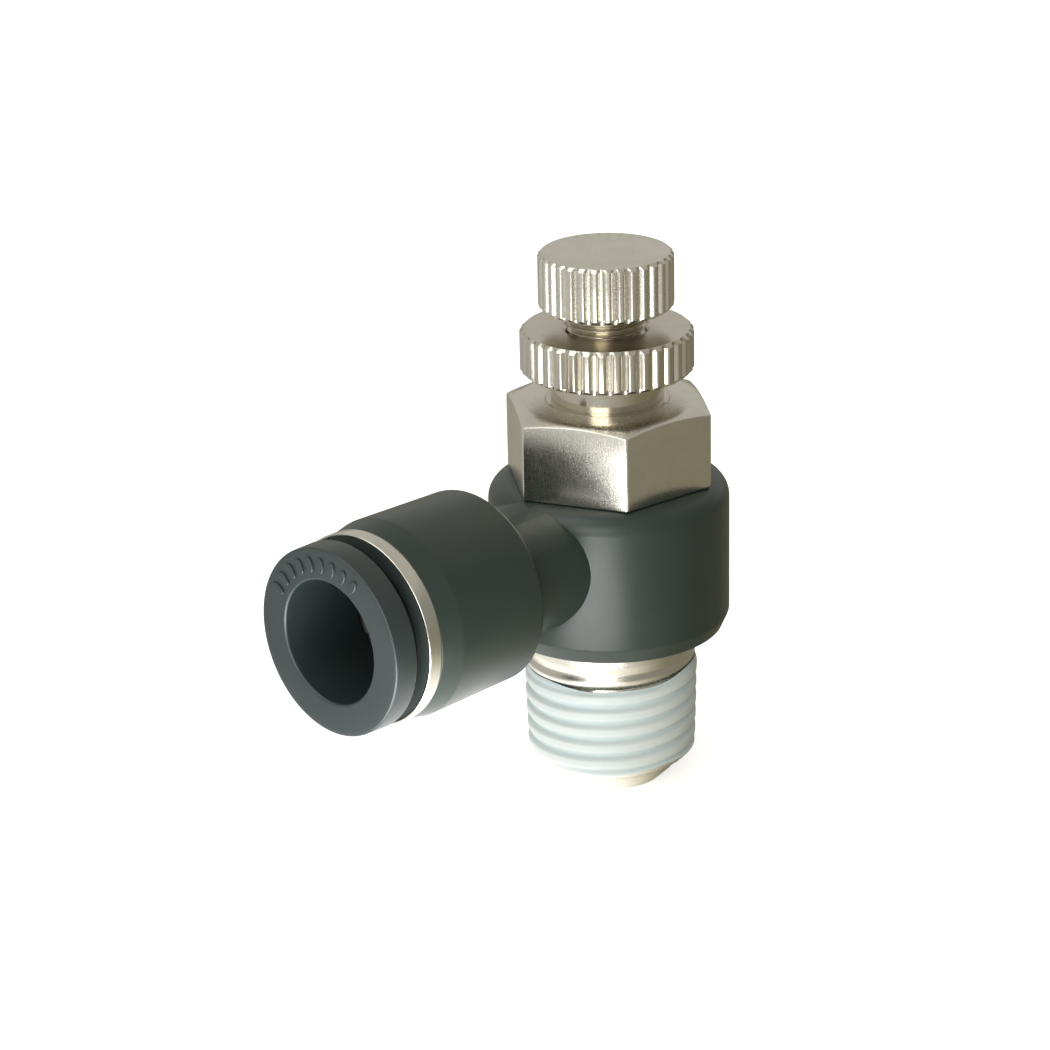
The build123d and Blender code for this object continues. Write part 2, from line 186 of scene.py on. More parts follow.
# ---- mesh making --------------------------------------------------------------------------------
def rounded(*corners, closed=True, steps=4):
    """An outline of (radius, height, corner radius) corners, with its corners as arcs."""
    outline = []
    count = len(corners)
    for index, corner in enumerate(corners):
        here = Vector(corner[:2])
        radius = corner[2] if len(corner) > 2 else 0
        end = not closed and index in (0, count - 1)
        if not radius or end:
            outline.append(tuple(here))
            continue
        before = Vector(corners[index - 1][:2]) - here
        after = Vector(corners[(index + 1) % count][:2]) - here
        before.normalize()
        after.normalize()
        half = before.angle(after) / 2
        centre = here + (before + after).normalized() * (radius / sin(half))
        start = here + before * (radius / tan(half)) - centre
        stop = here + after * (radius / tan(half)) - centre
        sweep = start.angle(stop)
        for step in range(steps + 1):
            share = step / steps
            weights = (sin((1 - share) * sweep), sin(share * sweep))
            point = centre + (start * weights[0] + stop * weights[1]) / sin(sweep)
            outline.append(tuple(point))
    return outline


def densified(outline, low, high, spacing):
    """The outline with extra points between two heights, for a stretch that is displaced later."""
    dense = []
    for first, second in zip(outline, outline[1:] + outline[:1]):
        dense.append(first)
        span = abs(second[1] - first[1])
        inside = min(first[1], second[1]) >= low - 0.01 and max(first[1], second[1]) <= high + 0.01
        if inside and span > spacing:
            pieces = int(span / spacing)
            for piece in range(1, pieces):
                share = piece / pieces
                dense.append(tuple(a + (b - a) * share for a, b in zip(first, second)))
    return dense


def mesh_object(name, points, faces):
    """An object from points in millimetres and faces."""
    mesh = bpy.data.meshes.new(name)
    mesh.from_pydata([Vector(point) * MM for point in points], [], faces)
    made = bpy.data.objects.new(name, mesh)
    bpy.context.scene.collection.objects.link(made)
    return made


def turned(name, rows, angles, whole=True, closed=True):
    """Rows turned through angles. A row is (radius, height) or a function of the angle that gives it."""
    points = []
    for row in rows:
        for angle in angles:
            radius, height = row(angle) if callable(row) else row
            points.append((radius * cos(angle), radius * sin(angle), height))
    across = len(angles)
    faces = []
    for row in range(len(rows) if closed else len(rows) - 1):
        below = row * across
        above = (row + 1) % len(rows) * across
        for column in range(across if whole else across - 1):
            following = (column + 1) % across
            faces.append((below + column, below + following, above + following, above + column))
    return mesh_object(name, points, faces)


def around(count):
    """Evenly spaced angles of a full turn."""
    return [2 * pi * step / count for step in range(count)]


def turned_solid(name, *corners, sides, steps=4):
    """A solid turned from rounded corners, the first and the last of them on the axis."""
    outline = rounded(*corners, closed=False, steps=steps)
    return turned(name, outline, around(sides), closed=False)


def cleaned(made, sharp=32.0, merge=0.002):
    """Merges doubles, turns the faces outwards and marks the sharp edges."""
    shell = bmesh.new()
    shell.from_mesh(made.data)
    bmesh.ops.remove_doubles(shell, verts=shell.verts, dist=merge * MM)
    bmesh.ops.dissolve_degenerate(shell, edges=shell.edges, dist=1e-8)
    loose = [edge for edge in shell.edges if edge.is_wire]
    bmesh.ops.delete(shell, geom=loose, context="EDGES")
    bmesh.ops.recalc_face_normals(shell, faces=shell.faces)
    shell.to_mesh(made.data)
    shell.free()
    made.data.polygons.foreach_set("use_smooth", [True] * len(made.data.polygons))
    made.data.set_sharp_from_angle(angle=radians(sharp))
    return made


def onto_arm(made):
    """Turns a part made about the stem so that its +Z runs out along the arm."""
    made.data.transform(ARM_TO_ROW)
    return made


def combined(target, tool, operation):
    """Boolean of two closed shells. The tool is removed."""
    modifier = target.modifiers.new(operation, "BOOLEAN")
    modifier.operation = operation
    modifier.solver = "MANIFOLD"
    modifier.object = tool
    evaluated = target.evaluated_get(bpy.context.evaluated_depsgraph_get())
    mesh = bpy.data.meshes.new_from_object(evaluated)
    target.modifiers.clear()
    target.data = mesh
    bpy.data.objects.remove(tool)


def finished(made, body, slot, material, *nodes):
    """Gives a piece its material and body, and hides the frame nodes that it stands for. The slot
    argument is not used.
    """
    made.data.materials.clear()
    made.data.materials.append(material)
    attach(made, body)
    if nodes:
        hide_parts(*nodes)


# ---- geometry trees -------------------------------------------------------------------------------
def geometry_tree(name, inputs):
    """An empty geometry tree with named inputs, as (graph, {input name: value})."""
    tree = bpy.data.node_groups.new(name, "GeometryNodeTree")
    graph = Graph(tree)
    tree.interface.new_socket("Geometry", in_out="INPUT", socket_type="NodeSocketGeometry")
    tree.interface.new_socket("Geometry", in_out="OUTPUT", socket_type="NodeSocketGeometry")
    for label, kind in inputs.items():
        tree.interface.new_socket(label, in_out="INPUT", socket_type=f"NodeSocket{kind}")
    entry = graph.node("NodeGroupInput").socket.node
    return graph, {socket.name: Value(graph, socket) for socket in entry.outputs if socket.name}


def end_tree(graph, geometry, material):
    """Ends a tree in Realize Instances and Set Material."""
    real = graph.node("GeometryNodeRealizeInstances", None, {0: geometry})
    painted = graph.node("GeometryNodeSetMaterial", None, {"Geometry": real, "Material": material})
    graph.node("NodeGroupOutput", None, {0: painted})
    return graph.tree


def grown(made, tree, **values):
    """Runs a geometry tree on an object and keeps the result as its plain mesh."""
    modifier = made.modifiers.new(tree.name, "NODES")
    modifier.node_group = tree
    for item in tree.interface.items_tree:
        if item.in_out == "INPUT" and item.name in values:
            modifier[item.identifier] = values[item.name]
    evaluated = made.evaluated_get(bpy.context.evaluated_depsgraph_get())
    mesh = bpy.data.meshes.new_from_object(evaluated)
    made.modifiers.remove(modifier)
    made.data = mesh


def copies_about_stem():
    """A tree that repeats one sector round the stem axis: flats, knurl teeth and face marks."""
    inputs = {"Copies": "Int", "Span": "Float", "Merge": "Float", "Material": "Material"}
    graph, given = geometry_tree("copies_about_stem", inputs)
    points = graph.node("GeometryNodePoints", None, {"Count": given["Copies"]})
    index = graph.node("GeometryNodeInputIndex")
    turn = graph.vector(0.0, 0.0, index * given["Span"] / given["Copies"])
    placed = {"Points": points, "Instance": given["Geometry"], "Rotation": turn}
    ring = graph.node("GeometryNodeInstanceOnPoints", None, placed)
    real = graph.node("GeometryNodeRealizeInstances", None, {0: ring})
    welded = {"Geometry": real, "Distance": given["Merge"]}
    whole = graph.node("GeometryNodeMergeByDistance", None, welded)
    return end_tree(graph, whole, given["Material"])


def screw_thread():
    """A tree that cuts a right-handed thread: points move inwards by their 'thread' weight.

    Crest is the share of the lead that stays at the crest, and Soft rounds the groove's walls."""
    inputs = {
        "Lead": "Float",
        "Depth": "Float",
        "Crest": "Float",
        "Soft": "Float",
        "Waver": "Float",
        "Start": "Float",
        "Material": "Material",
    }
    graph, given = geometry_tree("screw_thread", inputs)
    place = graph.node("GeometryNodeInputPosition")
    x, y, z = graph.xyz(place)
    share = graph.maths("ARCTAN2", y, x) / (2 * pi)
    wander = graph.noise(place, 420.0, 3.0) - 0.5
    phase = (z / given["Lead"] - share + wander * given["Waver"] + given["Start"]).math("FRACT")
    from_groove = (phase - 0.5).math("ABSOLUTE") * 2.0
    groove = 1 - graph.step(from_groove, 0.0, given["Crest"])
    sharp = 1 - (from_groove / given["Crest"]).math("MINIMUM", 1.0)
    cut = groove * given["Soft"] + sharp * (1 - given["Soft"])
    weight = graph.node("GeometryNodeInputNamedAttribute", {"data_type": "FLOAT"}, {"Name": "thread"})
    inwards = cut * weight * given["Depth"] * -1
    radius = graph.maths("SQRT", x * x + y * y)
    offset = graph.vector(x / radius * inwards, y / radius * inwards, 0.0)
    moved = {"Geometry": given["Geometry"], "Offset": offset}
    threaded = graph.node("GeometryNodeSetPosition", None, moved)
    return end_tree(graph, threaded, given["Material"])


COPIES = copies_about_stem()
THREAD = screw_thread()


def weigh(made, weight_at):
    """Stores how much of the thread each point gets, from its radius and height."""
    attribute = made.data.attributes.new("thread", "FLOAT", "POINT")
    for index, vertex in enumerate(made.data.vertices):
        x, y, z = vertex.co / MM
        attribute.data[index].value = weight_at(sqrt(x * x + y * y), z)


def ramp(value, low, high):
    """0 at low, 1 at high, straight between them."""
    return min(1.0, max(0.0, (value - low) / (high - low)))


# ---- materials -----------------------------------------------------------------------------------
def material_graph(name):
    """A new material's graph and its principled shader."""
    material = bpy.data.materials.new(name)
    material.use_nodes = True
    graph = Graph(material.node_tree)
    shader = graph.node("ShaderNodeBsdfPrincipled")
    graph.node("ShaderNodeOutputMaterial", None, {0: shader})
    return material, graph, shader.socket.node


def put(graph, shader, **sockets):
    """Sets or links the shader's sockets. A name's underscores are spaces."""
    graph.feed(shader, {name.replace("_", " "): value for name, value in sockets.items()})


def relief(graph, height, depth):
    """A bump of that depth, in millimetres, from a height of 0 to 1."""
    values = {"Strength": 1.0, "Distance": depth * MM, "Height": height}
    return graph.node("ShaderNodeBump", None, values)


def place_mm(graph):
    """The piece's own coordinates in millimetres."""
    own = graph.node("ShaderNodeTexCoord", None, None, out=3)
    settings = {"operation": "SCALE"}
    return graph.node("ShaderNodeVectorMath", settings, {0: own, 3: 1 / MM})


def nickel(name, colour, rough, depth=0.012, drawn=False, axis_y=False):
    """Bright nickel plate, turned (rings round an axis) or drawn (streaks along the stem)."""
    material, graph, shader = material_graph(name)
    x, y, z = graph.xyz(place_mm(graph))
    if axis_y:
        x, y, z = x, z - ARM_Z, y * -1
    radius = graph.maths("SQRT", x * x + y * y)
    around_axis = graph.maths("ARCTAN2", y, x)
    speck = graph.noise(graph.vector(x, y, z), 6.5, 3.0, 0.8)
    if drawn:
        long_way = graph.noise(graph.vector(x * 9, y * 9, z * 1.1), 1.0, 3.0, 0.65)
        across = graph.noise(graph.vector(x * 1.1, y * 1.1, z * 9), 1.0, 3.0, 0.65)
        marks = long_way * 0.35 + across * 0.25 + speck * 0.40
    else:
        rings = graph.noise(graph.vector(around_axis * 0.3, radius * 5.0, z * 5.0), 1.0, 3.0, 0.7)
        marks = rings * 0.65 + speck * 0.35
    broad = graph.noise(graph.vector(x, y, z), 0.9, 2.0)
    stain = graph.step(graph.noise(graph.vector(x, y, z), 0.55, 4.0, 0.6), 0.42, 0.75)
    tone = stain * 0.35
    worn = tuple(channel * shade for channel, shade in zip(colour, (0.82, 0.80, 0.74)))
    put(
        graph,
        shader,
        Base_Color=graph.mix(tone, colour, worn),
        Metallic=1.0,
        Roughness=rough + (marks - 0.5) * rough * 0.8 + (broad - 0.5) * 0.06 + tone * 0.08,
        Normal=relief(graph, marks, depth),
    )
    return material


def resin(name, colour, rough, gloss=0.5):
    """Satin black moulded resin: spark-eroded grain and faint flow marks."""
    material, graph, shader = material_graph(name)
    place = place_mm(graph)
    grain = graph.noise(place, 11.0, 3.0, 0.6)
    cloud = graph.noise(place, 0.35, 3.0, 0.5)
    pale = tuple(channel * 1.35 + 0.003 for channel in colour)
    put(
        graph,
        shader,
        Base_Color=graph.mix(cloud * 0.5, colour, pale),
        Roughness=rough + (grain - 0.5) * 0.16 + (cloud - 0.5) * 0.10,
        Specular_IOR_Level=gloss,
        Normal=relief(graph, grain, 0.010),
    )
    return material


def dry_sealant():
    """Pale blue-white sealant: chalky crests, darker and bluer in the grooves."""
    material, graph, shader = material_graph("dry_sealant")
    place = place_mm(graph)
    x, y, z = graph.xyz(place)
    radius = graph.maths("SQRT", x * x + y * y)
    crest = CREST_AT_ORIGIN + 0.12 + z * PIPE_TAPER
    deep = graph.step(crest - radius, 0.02, 0.24)
    cloud = graph.noise(place, 1.4, 4.0, 0.6)
    grain = graph.noise(place, 14.0, 3.0, 0.6)
    chalk = (0.60, 0.65, 0.645)
    blue = (0.47, 0.565, 0.585)
    blueness = (deep * 0.65 + (cloud - 0.5) * 0.45).math("MAXIMUM", 0.0)
    put(
        graph,
        shader,
        Base_Color=graph.mix(blueness, chalk, blue),
        Roughness=0.34 + cloud * 0.18,
        Normal=relief(graph, grain * 0.5 + cloud * 1.5, 0.02),
        Subsurface_Weight=0.25,
        Subsurface_Radius=(0.5, 0.6, 0.7),
        Subsurface_Scale=0.6 * MM,
    )
    return material


def nitrile():
    """Moulded black nitrile with a dusty bloom."""
    material, graph, shader = material_graph("nitrile")
    place = place_mm(graph)
    bloom = graph.noise(place, 1.2, 4.0, 0.6)
    grain = graph.noise(place, 18.0, 2.0)
    put(
        graph,
        shader,
        Base_Color=graph.mix(bloom, (0.014, 0.014, 0.015), (0.035, 0.035, 0.037)),
        Roughness=0.55 + bloom * 0.2,
        Normal=relief(graph, grain, 0.01),
    )
    return material


def dark_shaded_strip_steel():
    """Rolled spring steel strip, coloured near black as painted shade for the claw and ring deep inside
    the bores.
    """
    material, graph, shader = material_graph("dark_shaded_strip_steel")
    x, y, z = graph.xyz(place_mm(graph))
    rolled = graph.noise(graph.vector(x * 14, y * 2, z * 2), 1.0, 3.0, 0.6)
    put(
        graph,
        shader,
        # near-black base colours are painted shade for the parts deep inside the bores
        Base_Color=graph.mix(rolled, (0.045, 0.045, 0.042), (0.03, 0.03, 0.028)),
        Metallic=1.0,
        Roughness=0.22 + rolled * 0.16,
        Normal=relief(graph, rolled, 0.006),
    )
    return material


HEX_METAL = nickel("drawn_nickel", (0.68, 0.655, 0.59), 0.26, drawn=True)
NUT_METAL = nickel("knurled_nickel", (0.60, 0.565, 0.49), 0.22, depth=0.007)
KNOB_METAL = nickel("knob_nickel", (0.67, 0.645, 0.575), 0.25, depth=0.008)
STEM_METAL = nickel("stem_nickel", (0.52, 0.48, 0.40), 0.22)
NECK_METAL = nickel("neck_nickel", (0.58, 0.54, 0.45), 0.10, depth=0.003)
COLLAR_METAL = nickel("collar_nickel", (0.70, 0.68, 0.61), 0.22, depth=0.02, axis_y=True)
SEAT_METAL = nickel("machined_brass", (0.72, 0.52, 0.24), 0.25)
BODY_RESIN = resin("black_resin", (0.017, 0.028, 0.023), 0.34)
RING_RESIN = resin("ring_acetal", (0.016, 0.025, 0.025), 0.36, gloss=0.64)
GUIDE_RESIN = resin("guide_acetal", (0.030, 0.040, 0.038), 0.45)
SEALANT = dry_sealant()
RUBBER = nitrile()
STRIP_SHADED_DARK = dark_shaded_strip_steel()


# ---- metal pieces about the stem -----------------------------------------------------------------
def hex_radius(angle):
    """Distance from the stem to the hexagon's side, whose corners are rounded."""
    off_corner = (angle + pi / 6) % (pi / 3) - pi / 6
    corner = (HEX_APOTHEM - HEX_CORNER_ROUND) / cos(pi / 6)
    reach = HEX_CORNER_ROUND ** 2 - (corner * sin(off_corner)) ** 2
    on_corner = corner * sin(abs(off_corner)) <= HEX_CORNER_ROUND / 2
    if on_corner and reach > 0:
        return corner * cos(off_corner) + sqrt(reach)
    return HEX_APOTHEM / cos(pi / 6 - abs(off_corner))


def hex_row(inset, drop):
    """A row on the hexagon's top edge, where the chamfer cone meets the flats."""
    def row(angle):
        radius = hex_radius(angle)
        return radius - inset, HEX_TOP - (radius - HEX_FLAT_R) * HEX_SLOPE - drop
    return row


def hex_side(inset, height):
    """A row round the hexagon at one height."""
    def row(angle):
        return hex_radius(angle) - inset, height
    return row


def crest_radius(height):
    """Crest of the taper thread at a height."""
    return min(PIPE_R, CREST_AT_ORIGIN + height * PIPE_TAPER)


def sector_angles():
    """Angles across one sixth of the hexagon, close together on its rounded corner."""
    corner = (HEX_CORNER_ROUND / 2) / ((HEX_APOTHEM - HEX_CORNER_ROUND) / cos(pi / 6))
    half = [corner * step / 4 for step in range(5)]
    half += [corner + (pi / 6 - corner) * step / 9 for step in range(1, 10)]
    return [-angle for angle in reversed(half)] + half[1:]


def shank_rows():
    """Rows of the shank's chamfered end and its taper thread, up to the run-out."""
    mouth_r, mouth = 4.13, THREAD_END + 0.06
    widening = crest_radius(THREAD_LOW) - mouth_r
    rows = [(PASSAGE_R, THREAD_END + 0.15), (3.55, THREAD_END), (4.0, THREAD_END), (mouth_r, mouth)]
    rows += [
        (mouth_r + widening * step / 20, mouth + (THREAD_LOW - mouth) * step / 20)
        for step in range(1, 21)
    ]
    count = int((RUN_OUT + 0.1 - THREAD_LOW) / ROW_SPACING)
    heights = [THREAD_LOW + ROW_SPACING * step for step in range(1, count)]
    return rows + [(crest_radius(height), height) for height in heights]


def land_rows():
    """Rows of the shank's top, the snap ring's groove, and the two seal lands with a waist between."""
    return rounded(
        (PIPE_R, RUN_OUT + 0.1),
        (PIPE_R, 7.65, 0.06),
        (6.308, 7.65),
        (6.308, 8.25),
        (LAND_R, 8.25, 0.05),
        (LAND_R, GALLERY_LOW, 0.05),
        (5.2, GALLERY_LOW),
        (5.2, GALLERY_HIGH),
        (LAND_R, GALLERY_HIGH, 0.05),
        (LAND_R, HEX_BOTTOM),
        closed=False,
        steps=2,
    )


def hexagon_rows():
    """Rows of the hexagon's side, its chamfered top edge and its flat top."""
    sides = [(0.12, 0), (0.035, 0.035), (0, 0.12), (0, 2.2), (0, 4.2)]
    rows = [hex_side(inset, HEX_BOTTOM + rise) for inset, rise in sides]
    rows += [hex_row(0, 0.10), hex_row(0.015, 0.045), hex_row(0.06, 0.0)]
    rows += [(HEX_FLAT_R + 0.05, HEX_TOP - 0.012), (HEX_FLAT_R - 0.05, HEX_TOP)]
    return rows + [(5.9, HEX_TOP), (GUIDE_R + 0.05, HEX_TOP)]


def bore_rows():
    """Rows down the inside, from the guide's seat to the air passage."""
    guide_bore, seat_bore, seat = GUIDE_R + 0.01, 3.6, 12.7
    return [
        (guide_bore, HEX_TOP - 0.04),
        (guide_bore, GUIDE_FOOT),
        (seat_bore, GUIDE_FOOT),
        (seat_bore, seat),
        (PASSAGE_R, seat),
    ]


def build_valve_body():
    """Hexagon, lands and shank in one: a 60 degree sector, repeated six times, then threaded."""
    rows = shank_rows() + land_rows() + hexagon_rows() + bore_rows()
    body = turned("valve_body_finish", rows, sector_angles(), whole=False)
    grown(body, COPIES, Copies=6, Span=2 * pi, Merge=0.002 * MM, Material=HEX_METAL)
    cleaned(body)
    body.data.transform(Matrix.Rotation(HEX_TURN, 4, "Z"))

    def weight(radius, height):
        if radius < 3.9 or height > RUN_OUT:
            return 0.0
        return ramp(height, THREAD_END + 0.6, THREAD_END + 2.4) * (1 - ramp(height, 3.2, RUN_OUT))

    weigh(body, weight)
    values = {"Lead": PIPE_PITCH * MM, "Depth": 0.62 * MM, "Crest": 0.82, "Soft": 0.35}
    grown(body, THREAD, Start=0.5, Waver=0.0, Material=HEX_METAL, **values)
    cleaned(body)
    finished(body, "stem", "plated_brass", HEX_METAL, "valve_body")


def thick_run(angle):
    """1 at the coat's one thick run, falling to 0 at a quarter turn from it."""
    return max(0.0, cos(angle - radians(35))) ** 6


def edge_wander(angle):
    """How far the coat's upper edge stands over its nominal height."""
    return 0.10 * sin(3 * angle + 1.0) + 0.06 * sin(7 * angle) + 0.55 * thick_run(angle)


def coat_row(height, low, high):
    """A row of the coat, whose ends thin out and wander."""
    lift = 0.12 * min(1.0, ramp(height, low - 0.05, low + 0.35), ramp(height, high + 0.05, high - 0.5))
    sink = 0.10 * (1 - ramp(height, low, low + 0.25)) + 0.10 * (1 - ramp(height, high, high - 0.3))

    top_share = ramp(height, high - 1.2, high)
    end_share = 1 - ramp(height, low, low + 0.8)
    radius = crest_radius(min(height, 4.0)) + lift - sink

    def row(angle):
        moved = height + top_share * edge_wander(angle) + end_share * 0.12 * sin(4 * angle + 2)
        return radius + 0.10 * top_share * thick_run(angle), moved

    return row


def build_sealant():
    """Sealant coat: fills the thread, with soft crests and a wandering edge at both ends."""
    low, high = SEALANT_LOW.z, SEALANT_HIGH.z
    count = 132
    rows = [(crest_radius(low) - 0.5, low + 0.3)]
    rows += [coat_row(low + (high - low) * index / count, low, high) for index in range(count + 1)]
    rows.append((crest_radius(high) - 0.5, high - 0.3))
    coat = turned("sealant_coat", rows, around(192))

    def weight(radius, height):
        if radius < crest_radius(height) - 0.3:
            return 0.0
        return ramp(height, low, low + 0.5) * ramp(height, high + 0.1, high - 0.9)

    weigh(coat, weight)
    values = {"Lead": PIPE_PITCH * MM, "Depth": 0.30 * MM, "Crest": 0.72, "Soft": 1.0}
    grown(coat, THREAD, Start=0.5, Waver=0.10, Material=SEALANT, **values)
    cleaned(coat, sharp=80)
    finished(coat, "stem", "sealant", SEALANT, "thread_sealant")


def tooth_depth(share):
    """How far a knurl's surface lies under its crest, at a share from 0 to 1 across one tooth."""
    land, wall, fall = 0.60, 0.16, 0.10
    from_groove = abs(share - 0.5) * 2
    if from_groove >= land:
        return KNURL_DEPTH * fall * (1 - ramp(from_groove, land, land + 0.18)) ** 2
    return KNURL_DEPTH * (fall + (1 - fall) * (1 - ramp(from_groove, wall, land)))


def knurled(name, outline, radius, teeth, material):
    """A turned part with straight knurl teeth: one tooth as a sector, repeated round the axis."""
    shares = (0, 0.06, 0.12, 0.2, 0.27, 0.34, 0.42, 0.5, 0.58, 0.66, 0.73, 0.8, 0.88, 0.94, 1)
    pitch = 2 * pi / teeth

    def cut(point):
        def row(angle):
            limit = radius - tooth_depth(angle / pitch)
            return min(point[0], limit), point[1]
        return row

    rows = [cut(point) for point in outline]
    made = turned(name, rows, [share * pitch for share in shares], whole=False)
    grown(made, COPIES, Copies=teeth, Span=2 * pi, Merge=0.001 * MM, Material=material)
    return cleaned(made, sharp=38)


def build_lock_nut():
    """Knurled lock nut with a turned top and a small lead-in at its thread."""
    radius = (NUT_HIGH.x - NUT_LOW.x) / 2
    low, high = NUT_LOW.z, NUT_HIGH.z
    outline = rounded(
        (STEM_R + 0.06, low + 0.3),
        (STEM_R + 0.36, low),
        (radius - 0.34, low, 0.05),
        (radius, low + 0.30, 0.06),
        (radius, high - 0.30, 0.06),
        (radius - 0.34, high, 0.05),
        (STEM_R + 0.40, high, 0.04),
        (STEM_R + 0.06, high - 0.34),
        steps=3,
    )
    made = knurled("lock_nut_finish", outline, radius, NUT_TEETH, NUT_METAL)
    finished(made, "nut", "plated_nut", NUT_METAL, "lock_nut")


def build_knob():
    """Knurled knob with a flat faced top."""
    radius = (KNOB_HIGH.x - KNOB_LOW.x) / 2
    low, high = KNOB_LOW.z, KNOB_HIGH.z
    outline = rounded(
        (0, high - 1.2),
        (2.6, high - 1.2),
        (2.6, low),
        (radius - 0.30, low, 0.05),
        (radius, low + 0.28, 0.06),
        (radius, high - 0.26, 0.06),
        (radius - 0.28, high, 0.07),
        (0, high),
        closed=False,
        steps=3,
    )
    made = knurled("knob_finish", outline, radius, KNOB_TEETH, KNOB_METAL)
    finished(made, "adjuster", "plated_knob", KNOB_METAL, "knob")


def build_needle():
    """Needle: cone, shaft with its O-ring groove, and the fine-threaded stem."""
    tip, top = NEEDLE_LOW.z, NEEDLE_HIGH.z
    stem_low, stem_high = 22.8, KNOB_LOW.z
    tail, shaft, groove = 2.59, 3.3, 2.3
    outline = rounded(
        (0, tip),
        (1.12, tip, 0.1),
        (tail, 16.2, 0.1),
        (tail, 17.6, 0.1),
        (shaft, 18.0, 0.05),
        (shaft, 20.2, 0.05),
        (groove, 20.2, 0.05),
        (groove, 21.4, 0.05),
        (shaft, 21.4, 0.05),
        (shaft, 22.6, 0.05),
        (STEM_R, stem_low),
        (STEM_R, stem_high),
        (2.58, stem_high),
        (2.58, top, 0.1),
        (0, top),
        closed=False,
        steps=2,
    )
    outline = densified(outline, stem_low, stem_high, 0.035)
    made = turned("needle_finish", outline, around(112), closed=False)

    def weight(radius, height):
        inside = radius > STEM_R - 0.01 and stem_low < height < stem_high
        return ramp(height, stem_low, stem_low + 0.6) if inside else 0.0

    weigh(made, weight)
    values = {"Lead": NEEDLE_LEAD * MM, "Depth": 0.27 * MM, "Crest": 0.86, "Soft": 0.4}
    grown(made, THREAD, Start=0.0, Waver=0.0, Material=STEM_METAL, **values)
    cleaned(made)
    finished(made, "adjuster", "plated_stem", STEM_METAL, "needle")


def build_guide():
    """Needle guide, whose neck stands on the hexagon."""
    bore, groove, neck, bore_top = 3.35, 4.1, 4.5, 26.0
    outline = rounded(
        (bore, GUIDE_FOOT),
        (GUIDE_R, GUIDE_FOOT, 0.1),
        (GUIDE_R, 20.6, 0.05),
        (groove, 20.6),
        (groove, 21.7),
        (GUIDE_R, 21.7, 0.05),
        (GUIDE_R, HEX_TOP, 0.03),
        (neck, HEX_TOP),
        (neck, NECK_TOP, 0.16),
        (STEM_R + 0.05, NECK_TOP, 0.1),
        (STEM_R + 0.05, bore_top),
        (bore, bore_top),
        steps=3,
    )
    made = cleaned(turned("needle_guide_finish", outline, around(128)))
    finished(made, "stem", "plated_neck", NECK_METAL, "needle_guide")


# ---- pieces about the arm ------------------------------------------------------------------------
def build_collar():
    """Thin plated collar: a band with a rolled front rim, a web and a sleeve in the cavity."""
    back, front = -COLLAR_HIGH.y, -COLLAR_LOW.y
    radius = (COLLAR_HIGH.x - COLLAR_LOW.x) / 2
    inner, outer = CAVITY_R - 0.24, CAVITY_R - 0.01
    outline = rounded(
        (inner, back),
        (outer, back),
        (outer, SHELL_FRONT + 0.02),
        (radius - 0.04, SHELL_FRONT + 0.02, 0.04),
        (radius, SHELL_FRONT + 0.16, 0.10),
        (radius, front, 0.10),
        (radius - 0.22, front, 0.10),
        (radius - 0.22, SHELL_FRONT + 0.24),
        (inner, SHELL_FRONT + 0.24),
        steps=5,
    )
    made = cleaned(onto_arm(turned("collar_finish", outline, around(192))))
    finished(made, "elbow", "plated_collar", COLLAR_METAL, "collar")


def build_release_ring():
    """Push-to-release ring: flange with a fine rounded rim, a flat face and a rounded mouth."""
    nose, face = -RING_HIGH.y, -RING_LOW.y
    radius = (RING_HIGH.x - RING_LOW.x) / 2
    back = face - FLANGE_THICKNESS
    outline = rounded(
        (TUBE_BORE_R, nose, 0.05),
        (5.18, nose, 0.05),
        (5.75, nose + 0.7, 0.05),
        (5.75, back, 0.15),
        (radius, back, 0.20),
        (radius - 0.05, face - 0.03, 0.16),
        (6.95, face, 0.6),
        (TUBE_BORE_R, face, 0.24),
        steps=6,
    )
    made = cleaned(onto_arm(turned("release_ring_finish", outline, around(192))), sharp=50)
    finished(made, "release", "ring_resin", RING_RESIN, "release_ring")


def build_grip_marks():
    """Short raised bars in an arc on the ring's face, which show where to press."""
    face = -RING_LOW.y
    height = 0.19
    corners = ((0, 0), (0.30, 0, 0.04), (0.28, height, 0.06), (0, height))
    bar = turned_solid("grip_marks", *corners, sides=24)
    bar.data.transform(Matrix.Diagonal((2.15, 1.05, 1, 1)))
    bar.data.transform(Matrix.Translation((6.05 * MM, 0, (face - 0.02) * MM)))
    grown(bar, COPIES, Copies=9, Span=radians(102), Merge=0.0, Material=RING_RESIN)
    cleaned(bar, merge=0.001)
    bar.data.transform(Matrix.Rotation(radians(60), 4, "Z"))
    onto_arm(bar)
    finished(bar, "release", "ring_resin", RING_RESIN)


def neck_section(angle):
    """Half width and height of the arm's neck: round, and lower on top than a circle."""
    x, z = NECK_R * cos(angle), NECK_R * sin(angle)
    shoulder = 3.0
    limit = ELBOW_TOP - ARM_Z - 0.12
    if z > shoulder:
        z = shoulder + (limit - shoulder) * ((z - shoulder) / (NECK_R - shoulder)) ** 0.9
    return x, z


def elbow_banjo():
    """The banjo round the stem, solid."""
    return cleaned(turned_solid(
        "elbow_finish",
        (0, ELBOW_BOTTOM),
        (ELBOW_R - 0.55, ELBOW_BOTTOM, 0.18),
        (ELBOW_R, ELBOW_BOTTOM + 1.25, 0.5),
        (ELBOW_R, ELBOW_TOP, 1.6),
        (0, ELBOW_TOP),
        sides=192,
        steps=8,
    ))


def elbow_neck():
    """The arm's neck, from inside the banjo to inside the shell."""
    count = 96
    points = []
    for distance in (4.0, SHELL_REAR + 1.5):
        points += [(x, -distance, ARM_Z + z) for x, z in map(neck_section, around(count))]
    faces = [tuple(range(count)), tuple(range(2 * count - 1, count - 1, -1))]
    faces += [(i, (i + 1) % count, count + (i + 1) % count, count + i) for i in range(count)]
    return cleaned(mesh_object("neck", points, faces))


